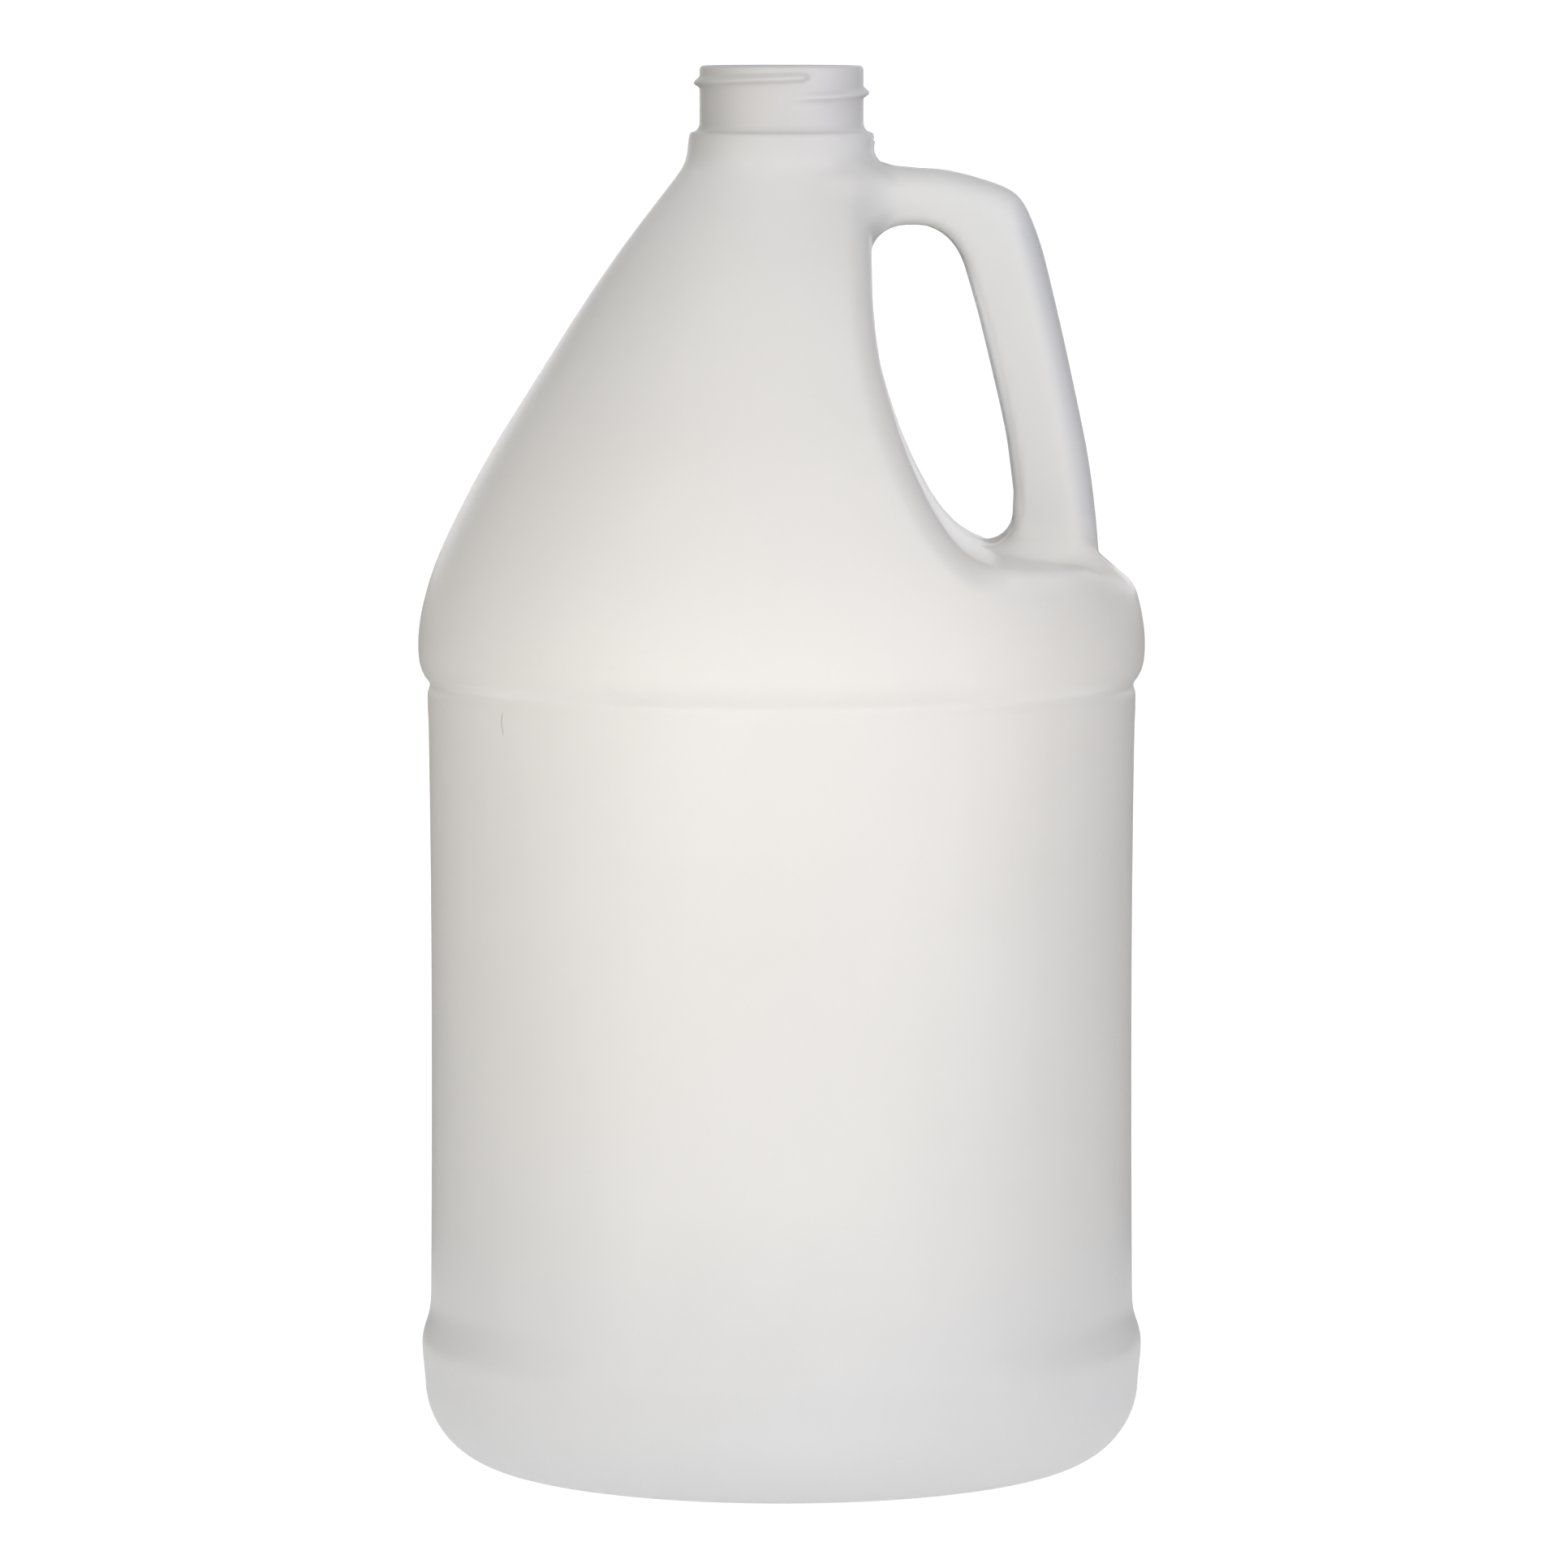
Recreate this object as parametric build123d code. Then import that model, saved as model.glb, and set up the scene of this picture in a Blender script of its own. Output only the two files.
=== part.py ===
from build123d import *
import os

# One-gallon round plastic jug with a hollow side handle, blow moulded in one piece.
# Millimetres. +Z is up, the origin is the centre of the base on the surface the jug stands on,
# +X points at the handle, and the mould's parting plane is y = 0.

# ---------------------------------------------------------------- driving dimensions
height = 298.0            # standing plane to the rim of the mouth
wall = 1.0                # plastic thickness of the body, handle and base
stand_in_r = 55.0         # flat ring the jug stands on, inside and outside radius
stand_out_r = 58.5
push_up = 6.0             # height of the raised centre of the base
heel_r = 17.8             # radius of the rounded heel
ring_r = 76.9             # largest radius of the raised ring above the heel
ring_top_z = 36.0         # where the ring has run out into the plain label panel
panel_low_r = 75.03       # the panel is slightly waisted
panel_mid_r = 74.72
panel_top_r = 75.3
panel_top_z = 166.0       # small step under the shoulder bulge
shoulder_r = 77.36        # the jug's largest radius, on the shoulder bulge
skirt_low_r = 20.0        # slightly tapered skirt below the neck
skirt_low_z = 279.2
skirt_top_r = 19.6
ledge_z = 284.0           # ledge at the foot of the neck
neck_r = 17.4             # neck outside radius, without its thread
bore_r = 15.6             # mouth inside radius
rim_round = 0.9
recess_round = 8.0        # rounding where the handle recess breaks out of the body, front and back
handle_half = 12.5        # half the handle's width across the parting plane
handle_outer_round = 6.3  # rounding of the handle's outer edges
handle_inner_round = 3.6  # rounding of the edges around the finger opening
foot_round = 5.0          # blend where the handle stands on the shoulder
root_round = 4.0          # blend where the handle leaves the neck

# shoulder bulge and cone, (radius, height), from the step under the bulge up to the neck skirt
shoulder_pts = [
    (74.6, 166.9), (76.35, 169.0), (77.2, 172.0), (shoulder_r, 175.0), (77.3, 177.5),
    (76.85, 180.9), (76.2, 184.4), (75.25, 187.9), (74.1, 191.3), (72.75, 194.8),
    (69.4, 201.7), (66.0, 208.6), (62.2, 215.5), (57.95, 222.4), (53.5, 229.3),
    (44.9, 243.1), (40.45, 250.0), (30.5, 263.8), (25.25, 270.6), (21.9, 275.2),
]
# the handle recess: its wall beside the finger opening and its floor on the shoulder, (x, z)
recess_pts = [
    (26.0, 285.0), (21.3, 277.0), (19.15, 268.0), (18.98, 256.9), (19.1, 250.0),
    (19.65, 243.1), (20.7, 236.2), (22.45, 229.3), (24.6, 222.4), (27.25, 215.5),
    (30.7, 208.6), (35.2, 202.2), (41.0, 197.6), (48.0, 195.2), (56.0, 194.0),
    (66.0, 193.2), (82.0, 192.6),
]
# the handle's outer outline, from inside the neck to inside the shoulder, (x, z)
handle_outer_pts = [
    (12.0, 284.0), (20.0, 279.7), (24.0, 277.2), (28.74, 276.46), (33.9, 275.95),
    (39.07, 274.92), (44.23, 273.54), (47.6, 272.3), (50.3, 270.4), (52.3, 267.2),
    (54.59, 261.18), (57.19, 251.43), (59.81, 240.23), (62.43, 228.2), (65.05, 215.26),
    (66.7, 203.5), (67.4, 195.0), (67.8, 186.0), (68.0, 180.0),
]
# the handle's inner outline around the finger opening, from inside the shoulder to inside the neck
handle_inner_pts = [
    (42.2, 180.0), (42.3, 190.0), (43.6, 196.6), (46.2, 199.4), (48.4, 202.1), (49.35, 205.3),
    (49.24, 208.6), (48.84, 212.06), (47.9, 219.0), (46.5, 225.9), (44.9, 232.8), (43.3, 239.7),
    (41.45, 246.6), (39.6, 253.4), (38.4, 256.9), (36.6, 260.3), (34.6, 262.2), (32.0, 263.7),
    (28.5, 264.5), (25.0, 264.5), (22.0, 263.3), (19.6, 261.2), (12.0, 253.0),
]


def shifted(points, amount):
    """Points moved square to their own run: a positive amount goes to the right of the run."""
    out = []
    for i, (a, z) in enumerate(points):
        a0, z0 = points[max(i - 1, 0)]
        a1, z1 = points[min(i + 1, len(points) - 1)]
        da, dz = a1 - a0, z1 - z0
        length = (da * da + dz * dz) ** 0.5
        out.append((a + amount * dz / length, z - amount * da / length))
    return out


def turned_body(t):
    """The body and neck without recess or handle: outside surface for t = 0, inside for t = wall."""
    cone = shifted(shoulder_pts, -t)
    cone[0] = (shoulder_pts[0][0] - t, shoulder_pts[0][1] + 0.6 * t)
    low_z = t
    with BuildPart() as body:
        with BuildSketch(Plane.XZ):
            with BuildLine():
                Line((0, push_up + t), (30, push_up - 0.6 + t))
                Spline(
                    [(30, push_up - 0.6 + t), (46 - 0.1 * t, 4.4 + t), (stand_in_r - 0.2 * t, low_z)],
                    tangents=[(1, -0.03), (0.8, -0.6)],
                )
                Line((stand_in_r - 0.2 * t, low_z), (stand_out_r, low_z))
                TangentArc((stand_out_r, low_z), (stand_out_r + heel_r - t, heel_r), tangent=(1, 0))
                Spline(
                    [
                        (stand_out_r + heel_r - t, heel_r), (76.75 - t, 22.5), (ring_r - t, 26.4),
                        (76.35 - t, 29.0), (75.35 - t, 32.0), (panel_low_r - t, ring_top_z),
                    ],
                    tangents=[(0.0, 1), (-0.01, 1)],
                )
                ThreePointArc(
                    (panel_low_r - t, ring_top_z), (panel_mid_r - t, 100.0), (panel_top_r - t, panel_top_z)
                )
                Line((panel_top_r - t, panel_top_z), cone[0])
                flank = Spline(cone)
                end = cone[-1]
                if t == 0:
                    Spline([end, (20.55, 277.2), (skirt_low_r, skirt_low_z)], tangents=[flank % 1, (-0.1, 1)])
                    Line((skirt_low_r, skirt_low_z), (skirt_top_r, ledge_z - 0.8))
                    Line((skirt_top_r, ledge_z - 0.8), (skirt_top_r - 0.4, ledge_z - 0.4))
                    Line((skirt_top_r - 0.4, ledge_z - 0.4), (neck_r, ledge_z))
                    Line((neck_r, ledge_z), (neck_r, height - rim_round))
                    TangentArc(
                        (neck_r, height - rim_round), (neck_r - rim_round, height), tangent=(0, 1)
                    )
                    Line((neck_r - rim_round, height), (0, height))
                    Line((0, height), (0, push_up))
                else:
                    Spline([end, (18.6, 277.4), (17.9, 279.6)], tangents=[flank % 1, (-0.1, 1)])
                    Line((17.9, 279.6), (bore_r, 282.4))
                    Line((bore_r, 282.4), (bore_r, height + 1))
                    Line((bore_r, height + 1), (0, height + 1))
                    Line((0, height + 1), (0, push_up + t))
            make_face()
        revolve(axis=Axis.Z)
    return body.part


def recess_tool(t):
    """What is cleared away beside the neck so that the handle stands free of the body."""
    line = shifted(recess_pts, t)
    with BuildPart() as tool:
        with BuildSketch(Plane.XZ):
            with BuildLine():
                Spline(line)
                Polyline([line[-1], (100, line[-1][1]), (100, line[0][1]), line[0]])
            make_face()
        extrude(amount=100, both=True)
    return tool.part


def handle_form(t):
    """The handle, a soft-edged rectangular tube that follows its two outlines."""
    half = handle_half - t
    outer = [Vector(a, -half, z) for a, z in shifted(handle_outer_pts, t)]
    inner = [Vector(a, -half, z) for a, z in shifted(handle_inner_pts, t)]
    outline = [Spline(*outer), Line(outer[-1], inner[0]), Spline(*inner), Line(inner[-1], outer[0])]
    side = make_face(outline)
    form = Part() + Solid.extrude(side.faces()[0], Vector(0, 2 * half, 0))

    def on_side(e):
        return abs(abs(e.center().Y) - half) < 0.2 and e.geom_type == GeomType.BSPLINE

    form = form.fillet(
        handle_outer_round - t, [e for e in form.edges() if on_side(e) and e.bounding_box().max.X > 55]
    )
    form = form.fillet(
        handle_inner_round - 0.6 * t,
        [e for e in form.edges() if on_side(e) and e.bounding_box().max.X < 52 and e.length > 80],
    )
    return form


def jug_form(t):
    """The whole closed form: the jug's outside for t = 0, its hollow for t = wall."""
    body = turned_body(t) - recess_tool(t)
    rims = [e for e in body.edges() if e.geom_type != GeomType.CIRCLE and abs(e.center().Y) > 5]
    body = body.fillet(recess_round - t, rims)
    handle = handle_form(t)
    form = body + handle

    def mark(e):
        c = e.center()
        return (round(c.X, 2), round(c.Y, 2), round(c.Z, 2), round(e.length, 2))

    before = {mark(e) for e in body.edges()} | {mark(e) for e in handle.edges()}
    seams = [e for e in form.edges() if mark(e) not in before]
    foot = []
    for e in seams:
        b = e.bounding_box()
        if b.min.X > 40 and b.max.X < 69 and b.max.Z < 198 and e.length < 16:
            foot.append(e)
    form = form.fillet(foot_round + t, foot)
    if t > 0:
        # inside, the hollow of the handle opens straight into the neck with no blend of its own
        print("hollow litres", form.volume / 1e6, "solids", len(form.solids()), "valid", form.is_valid)
        return form
    root = []
    for e in form.edges():
        b = e.bounding_box()
        if mark(e) in before:
            continue
        if b.max.X < 20.1 and b.min.Z > 258 and b.max.Z < 281 and abs(e.center().Y) < 15.5 and e.length < 12:
            root.append(e)
    form = form.fillet(root_round, root)
    print("form", t, "litres", form.volume / 1e6, "solids", len(form.solids()), "valid", form.is_valid)
    return form


outside = jug_form(0.0)
inside = jug_form(wall)
jug = outside - inside
jug.label = "jug"
print("jug cc", jug.volume / 1e3, "solids", len(jug.solids()), "valid", jug.is_valid)

os.makedirs("parts", exist_ok=True)
export_step(jug, "parts/jug.step")
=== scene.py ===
import math

import bpy
import numpy as np
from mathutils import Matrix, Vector


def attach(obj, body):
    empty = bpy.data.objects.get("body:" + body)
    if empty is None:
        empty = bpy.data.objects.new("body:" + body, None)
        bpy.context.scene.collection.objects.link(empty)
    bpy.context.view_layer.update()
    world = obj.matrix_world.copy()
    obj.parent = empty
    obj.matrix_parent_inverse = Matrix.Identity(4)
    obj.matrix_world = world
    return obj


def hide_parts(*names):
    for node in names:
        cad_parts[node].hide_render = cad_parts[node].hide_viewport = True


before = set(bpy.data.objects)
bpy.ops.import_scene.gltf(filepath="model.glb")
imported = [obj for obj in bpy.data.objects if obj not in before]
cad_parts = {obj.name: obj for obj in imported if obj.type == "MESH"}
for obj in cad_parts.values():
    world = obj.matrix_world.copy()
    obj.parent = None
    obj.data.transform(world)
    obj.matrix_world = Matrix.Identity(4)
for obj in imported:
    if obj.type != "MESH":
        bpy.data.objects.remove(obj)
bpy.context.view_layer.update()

# The jug's one CAD node is shown through one closed, smooth mesh of the same form, outside and hollow, with the
# thread of the neck on it. Lengths below are millimetres in the CAD frame: +Z up, +X towards the handle, and the
# mould's parting plane is y = 0. They become metres when the mesh is made.

# ---------------------------------------------------------------- outlines
shoulder_pts = [
    (75.3, 163.0), (75.3, 165.2), (74.85, 166.3), (74.75, 167.0), (75.5, 168.0), (76.35, 169.3), (77.15, 172.0),
    (77.34, 174.6), (77.3, 177.0), (76.87, 180.6), (76.2, 184.4), (75.25, 187.9), (74.1, 191.3), (72.72, 194.8),
    (69.4, 201.7), (66.0, 208.4), (62.1, 215.5), (57.9, 222.4), (53.5, 229.3), (49.15, 236.2), (44.85, 243.1),
    (40.3, 250.0), (35.55, 257.0), (30.5, 263.8), (25.25, 270.6), (21.9, 275.0), (20.55, 277.2), (20.0, 279.2),
    (19.8, 281.0), (19.65, 282.6), (19.6, 284.0),
]
recess_pts = [
    (29.5, 290.0), (26.0, 284.8), (21.3, 277.0), (19.15, 268.0), (18.98, 256.9), (19.1, 250.0), (19.65, 243.1),
    (20.7, 236.2), (22.45, 229.3), (24.6, 222.4), (27.25, 215.5), (30.7, 208.6), (35.2, 202.2), (41.0, 197.6),
    (48.0, 195.2), (56.0, 194.0), (66.0, 193.2), (84.0, 192.5),
]
handle_outer_pts = [
    (12.0, 277.6), (20.0, 277.1), (24.0, 276.75), (28.74, 276.3), (33.9, 275.95), (39.07, 274.92), (44.23, 273.4),
    (47.6, 272.1), (50.3, 270.2), (52.4, 266.8), (54.59, 261.18), (57.19, 251.43), (59.81, 240.23), (62.43, 228.2),
    (65.0, 215.26), (66.55, 203.5), (67.3, 195.0), (67.75, 186.0), (68.0, 178.0),
]
handle_inner_pts = [
    (48.7, 178.0), (49.0, 187.0), (49.25, 195.0), (49.38, 201.0), (49.4, 205.0), (49.24, 208.6),
    (48.84, 212.06), (47.9, 219.0), (46.5, 225.9), (44.9, 232.8), (43.25, 239.7), (41.5, 246.6), (39.6, 253.2),
    (38.4, 256.9), (36.7, 260.0), (34.6, 262.2), (32.0, 263.7), (28.5, 264.5), (25.0, 264.4), (22.0, 263.3),
    (19.6, 261.2), (12.0, 253.0),
]
handle_half = 12.5
low_cut, high_cut = 177.0, 282.0   # between these heights the form is sampled freely, outside them it is turned


def curve(points, step):
    """Dense points, about step apart, on the cubic spline through points."""
    p = np.array(points, float)
    s = np.concatenate([[0.0], np.cumsum(np.hypot(*np.diff(p, axis=0).T))])
    n, h = len(p), np.diff(s)
    a, b = np.eye(n), np.zeros((n, 2))
    for i in range(1, n - 1):
        a[i, i - 1: i + 2] = h[i - 1], 2 * (h[i - 1] + h[i]), h[i]
        b[i] = 6 * ((p[i + 1] - p[i]) / h[i] - (p[i] - p[i - 1]) / h[i - 1])
    m = np.linalg.solve(a, b)
    t = np.linspace(0, s[-1], int(s[-1] / step) + 2)
    k = np.clip(np.searchsorted(s, t, side="right") - 1, 0, n - 2)
    u, w, g = (t - s[k])[:, None], (s[k + 1] - t)[:, None], h[k][:, None]
    return (m[k] * w**3 + m[k + 1] * u**3) / (6 * g) + (p[k] / g - m[k] * g / 6) * w + (p[k + 1] / g - m[k + 1] * g / 6) * u


def blurred(values, sigma):
    """Values smoothed along their first axis with a Gaussian of sigma samples, ends held."""
    n = int(4 * sigma) + 1
    w = np.exp(-0.5 * (np.arange(-n, n + 1) / sigma) ** 2)
    w /= w.sum()
    padded = np.concatenate([2 * values[0] - values[n:0:-1], values, 2 * values[-1] - values[-2: -n - 2: -1]])
    return np.convolve(padded, w, "valid")


# the turned outline as a table of radius by height, eased where the measured points wander a little
table_step = 0.1
table_z = np.arange(163.0, 284.0 + 1e-6, table_step)
flank = curve(shoulder_pts, 0.05)
table_r = np.interp(table_z, flank[:, 1], flank[:, 0])
soft, fine = blurred(table_r, 34.0), blurred(table_r, 3.0)
ease = np.clip((table_z - 180.0) / 6.0, 0, 1) * np.clip((270.0 - table_z) / 8.0, 0, 1)
table_r = blurred(fine + (soft - fine) * ease * ease * (3 - 2 * ease), 3.0)


def taps(u, n):
    """Index and the four Catmull-Rom weights for positions u in a table of n samples."""
    i = np.clip(np.floor(u).astype(np.int64), 1, n - 3)
    f = np.clip(u - i, 0.0, 1.0)
    f2, f3 = f * f, f * f * f
    return i, ((-f + 2 * f2 - f3) / 2, (2 - 5 * f2 + 3 * f3) / 2, (f + 4 * f2 - 3 * f3) / 2, (f3 - f2) / 2)


def turned_radius(z):
    i, w = taps((z - table_z[0]) / table_step, len(table_z))
    return sum(w[k] * table_r[i + k - 1] for k in range(4))


class Side:
    """Signed distance to an outline in the x-z plane, from a table. It is negative to the left of the outline's run,
    or to its right for flip."""

    x0, x1, z0, z1, step = -82.0, 82.0, 174.0, 286.0, 0.5

    def __init__(self, points, flip=False):
        line = curve(points, 0.4)
        first, last = line[0] - line[1], line[-1] - line[-2]
        line = np.concatenate([
            [line[0] + first / np.linalg.norm(first) * 200], line, [line[-1] + last / np.linalg.norm(last) * 200]
        ])
        xs = np.arange(self.x0, self.x1 + 1e-6, self.step)
        zs = np.arange(self.z0, self.z1 + 1e-6, self.step)
        gx, gz = [g.ravel() for g in np.meshgrid(xs, zs, indexing="ij")]
        a, d = line[:-1], np.diff(line, axis=0)
        near, signed = np.full(len(gx), 1e18), np.zeros(len(gx))
        for j in range(len(d)):
            px, pz = gx - a[j, 0], gz - a[j, 1]
            t = np.clip((px * d[j, 0] + pz * d[j, 1]) / (d[j] @ d[j]), 0, 1)
            qx, qz = px - t * d[j, 0], pz - t * d[j, 1]
            dist = qx * qx + qz * qz
            better = dist < near
            near[better] = dist[better]
            signed[better] = (d[j, 0] * pz - d[j, 1] * px)[better]
        value = np.sqrt(near) * np.sign(signed) * (1 if flip else -1)
        self.table = value.reshape(len(xs), len(zs))

    def __call__(self, x, z):
        i, wx = taps((x - self.x0) / self.step, self.table.shape[0])
        k, wz = taps((z - self.z0) / self.step, self.table.shape[1])
        return sum(wx[a] * sum(wz[b] * self.table[i + a - 1, k + b - 1] for b in range(4)) for a in range(4))


recess_side = Side(recess_pts, flip=True)          # negative where the body stays
outer_side = Side(handle_outer_pts, flip=True)     # negative inside the handle
inner_side = Side(handle_inner_pts, flip=True)


def round_cut(a, b, r):
    """Both a and b, with an edge of radius r."""
    return np.minimum(-r, np.maximum(a, b)) + np.hypot(np.maximum(r + a, 0), np.maximum(r + b, 0))


def round_join(a, b, r):
    """Either a or b, with a hollow blend of radius r."""
    return np.maximum(r, np.minimum(a, b)) - np.hypot(np.maximum(r - a, 0), np.maximum(r - b, 0))


def step01(t):
    t = np.clip(t, 0.0, 1.0)
    return t * t * (3 - 2 * t)


def outside(p):
    """Distance to the jug's outside between the two cuts, negative inside."""
    x, y, z = p[:, 0], p[:, 1], p[:, 2]
    r = np.hypot(x, y)
    radius = turned_radius(z)
    slope = (turned_radius(z + 0.2) - turned_radius(z - 0.2)) / 0.4
    body = (r - radius) / np.sqrt(1 + slope * slope)
    ay = np.abs(y)
    crown = 1.1 * np.clip(ay / 45.0, 0, 1.25) ** 2 * step01((x - 26.0) / 14.0)   # the recess floor falls to both sides
    dip = 1.0 * step01((x - 62.0) / 5.0)                       # and lies a little lower behind the handle's foot
    body = round_cut(body, recess_side(x, z + crown + dip), 5.5)
    out, inn = outer_side(x, z), inner_side(x, z)
    across = ay - handle_half
    inn = inn + 0.25 * step01((x - 27.0) / 5.0) * step01((z - 203.0) / 6.0)   # room for the flash line
    handle = np.maximum(round_cut(out, across, 6.6), round_cut(inn, across, 2.4))
    handle = np.maximum(handle, 10.0 - x)
    # at the top the two outlines already hold their own blend in the parting plane, so there the join is nearly sharp
    # beside the finger opening; it is soft at the handle's foot, on its flanks and behind its outer side
    at_neck = step01((z - 235.0) / 30.0)
    at_foot = step01((220.0 - z) / 12.0)
    least = 0.8 + 5.4 * at_foot
    flank_share = step01((ay - 5.0) / 8.0) * np.maximum(step01((1.5 - inn) / 6.0), at_foot)
    back_share = step01((-inn - 4.0) / 8.0) * (1 - 0.55 * at_neck)
    flank = (5.0 + 5.0 * at_neck + 4.0 * at_foot) * (0.1 + 0.9 * step01((281.5 - z) / 8.0))
    back = 5.0 + 3.0 * at_neck - 3.0 * at_foot
    blend = least * (1 - np.maximum(flank_share, back_share)) + np.maximum(flank * flank_share, back * back_share)
    blend = 0.6 + (blend - 0.6) * step01((281.9 - z) / 1.5)   # gone before the collar starts
    return round_join(body, handle, blend)


def inside(p):
    """Distance to the jug's hollow: a millimetre under the outside, and down to the bore in the neck."""
    return outside(p) + 1.0 + 3.05 * step01((p[:, 2] - 277.6) / 4.2)


def gradient(f, p, e=0.05):
    g = np.empty_like(p)
    for k in range(3):
        d = np.zeros(3)
        d[k] = e
        g[:, k] = (f(p + d) - f(p - d)) / (2 * e)
    return g


def onto(f, p, rounds=3, limit=0.6):
    """Points moved onto f = 0."""
    for _ in range(rounds):
        g = gradient(f, p)
        v = f(p)
        move = (v / np.maximum((g * g).sum(1), 0.2))[:, None] * g
        length = np.linalg.norm(move, axis=1)
        move *= (np.minimum(length, limit) / np.maximum(length, 1e-9))[:, None]
        p = p - move
    return p


def sampled(f, h, relax):
    """The surface f = 0 between the two cuts as quads: points, faces, and the points on the low and the high cut,
    each ordered round the axis."""
    nz = int(round((high_cut - low_cut) / h))
    h = (high_cut - low_cut) / nz
    nx = int(math.ceil(79.0 / h))
    axis = np.arange(-nx, nx + 1) * h + 0.013
    zs = low_cut + np.arange(nz + 1) * h
    v = np.empty((len(axis), len(axis), nz + 1))
    gx, gy = np.meshgrid(axis, axis, indexing="ij")
    for k, z in enumerate(zs):
        v[:, :, k] = f(np.stack([gx.ravel(), gy.ravel(), np.full(gx.size, z)], 1)).reshape(gx.shape)
    v[:, :, 0], v[:, :, -1] = v[:, :, 1], v[:, :, -2]   # upright at the cuts, so that each cut is one clean loop
    filled = v < 0
    n = [s - 1 for s in v.shape]
    total, count = np.zeros([*n, 3]), np.zeros(n)
    for d in range(3):
        lo = [slice(None)] * 3
        hi = [slice(None)] * 3
        lo[d], hi[d] = slice(None, -1), slice(1, None)
        a, b = v[tuple(lo)], v[tuple(hi)]
        cross = filled[tuple(lo)] != filled[tuple(hi)]
        t = np.where(cross, a / np.where(cross, a - b, 1.0), 0.0)
        others = [k for k in range(3) if k != d]
        for i in (0, 1):
            for j in (0, 1):
                pick = [slice(None)] * 3
                pick[others[0]] = slice(i, i + n[others[0]])
                pick[others[1]] = slice(j, j + n[others[1]])
                c, tt = cross[tuple(pick)], t[tuple(pick)]
                count += c
                total[..., d] += tt
                total[..., others[0]] += c * i
                total[..., others[1]] += c * j
    active = count > 0
    index = np.full(n, -1)
    index[active] = np.arange(active.sum())
    cell = np.argwhere(active)
    origin = np.array([axis[0], axis[0], low_cut])
    p = origin + (cell + total[active] / count[active][:, None]) * h
    quads = []
    for d in range(3):
        o = [k for k in range(3) if k != d]
        lo = [slice(1, -1)] * 3
        hi = [slice(1, -1)] * 3
        lo[d], hi[d] = slice(None, -1), slice(1, None)
        a, b = filled[tuple(lo)], filled[tuple(hi)]
        at = np.argwhere(a != b)
        outward = a[tuple(at.T)]
        at[:, o] += 1
        ring = []
        for i, j in ((1, 1), (0, 1), (0, 0), (1, 0)):
            c = at.copy()
            c[:, o[0]] -= i
            c[:, o[1]] -= j
            ring.append(index[tuple(c.T)])
        q = np.stack(ring, 1)
        turn = outward if d != 1 else ~outward
        q[~turn] = q[~turn][:, ::-1]
        quads.append(q)
    quads = np.concatenate(quads)
    low, high = cell[:, 2] == 0, cell[:, 2] == n[2] - 1
    edges = np.concatenate([quads[:, [0, 1]], quads[:, [1, 2]], quads[:, [2, 3]], quads[:, [3, 0]]])

    def pin():
        for mask, z in ((low, low_cut), (high, high_cut)):
            q = p[mask]
            q[:, 2] = z
            for _ in range(3):
                r = np.hypot(q[:, 0], q[:, 1])
                q[:, :2] *= ((r - f(q)) / r)[:, None]
            p[mask] = q

    pin()
    p = onto(f, p)
    pin()
    for _ in range(relax):
        mean, weight = np.zeros_like(p), np.zeros(len(p))
        np.add.at(mean, edges[:, 0], p[edges[:, 1]])
        np.add.at(weight, edges[:, 0], 1)
        np.add.at(mean, edges[:, 1], p[edges[:, 0]])
        np.add.at(weight, edges[:, 1], 1)
        smooth = mean / np.maximum(weight, 1)[:, None]
        inner = ~(low | high)
        p[inner] += 0.6 * (smooth - p)[inner]
        p = onto(f, p, 2)
        pin()
    loops = []
    for mask in (low, high):
        ids = np.nonzero(mask)[0]
        loops.append(ids[np.argsort(np.arctan2(p[ids, 1], p[ids, 0]))])
    return p, quads, loops[0], loops[1]


# ---------------------------------------------------------------- the thread
thread_pitch, thread_crest = 4.233, 1.25
thread_start = math.radians(-70.5)
thread_z = 295.75
thread_turn = 383.0


def thread_height(theta, z):
    """How far the thread stands out of the neck: a rounded ridge, gentle above and steep below, one turn and a bit."""
    total = np.zeros(np.broadcast(theta, z).shape)
    s = np.array([-1.25, -1.12, -0.45, -0.18, 0.15, 1.05, 1.3])
    e = np.array([0.0, 0.05, 1.12, 1.25, 1.12, 0.12, 0.0])
    fine_s = np.linspace(-1.8, 1.8, 181)
    form = blurred(np.interp(fine_s, s, e), 9.0)
    form *= thread_crest / form.max()
    first = np.degrees(np.mod(thread_start - theta, 2 * math.pi))
    for turn in (-1, 0, 1):
        phi = first + 360.0 * turn
        ramp_in = step01((phi + 2.0) / 9.0)
        ramp_out = step01((thread_turn - phi) / 42.0)
        share = np.where((phi > -3.0) & (phi < thread_turn), ramp_in * ramp_out, 0.0)
        squeeze = 0.55 + 0.45 * step01((phi + 2.0) / 8.0)
        centre = thread_z - thread_pitch * np.maximum(phi, 0) / 360.0
        total = np.maximum(total, share * np.interp((z - centre) / squeeze, fine_s, form, left=0.0, right=0.0))
    return total


# ---------------------------------------------------------------- turned parts, as grids of rows up the axis
def arc(cx, cz, r, a0, a1, n):
    a = np.radians(np.linspace(a0, a1, n))
    return [(cx + r * math.cos(t), cz + r * math.sin(t)) for t in a]


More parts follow.
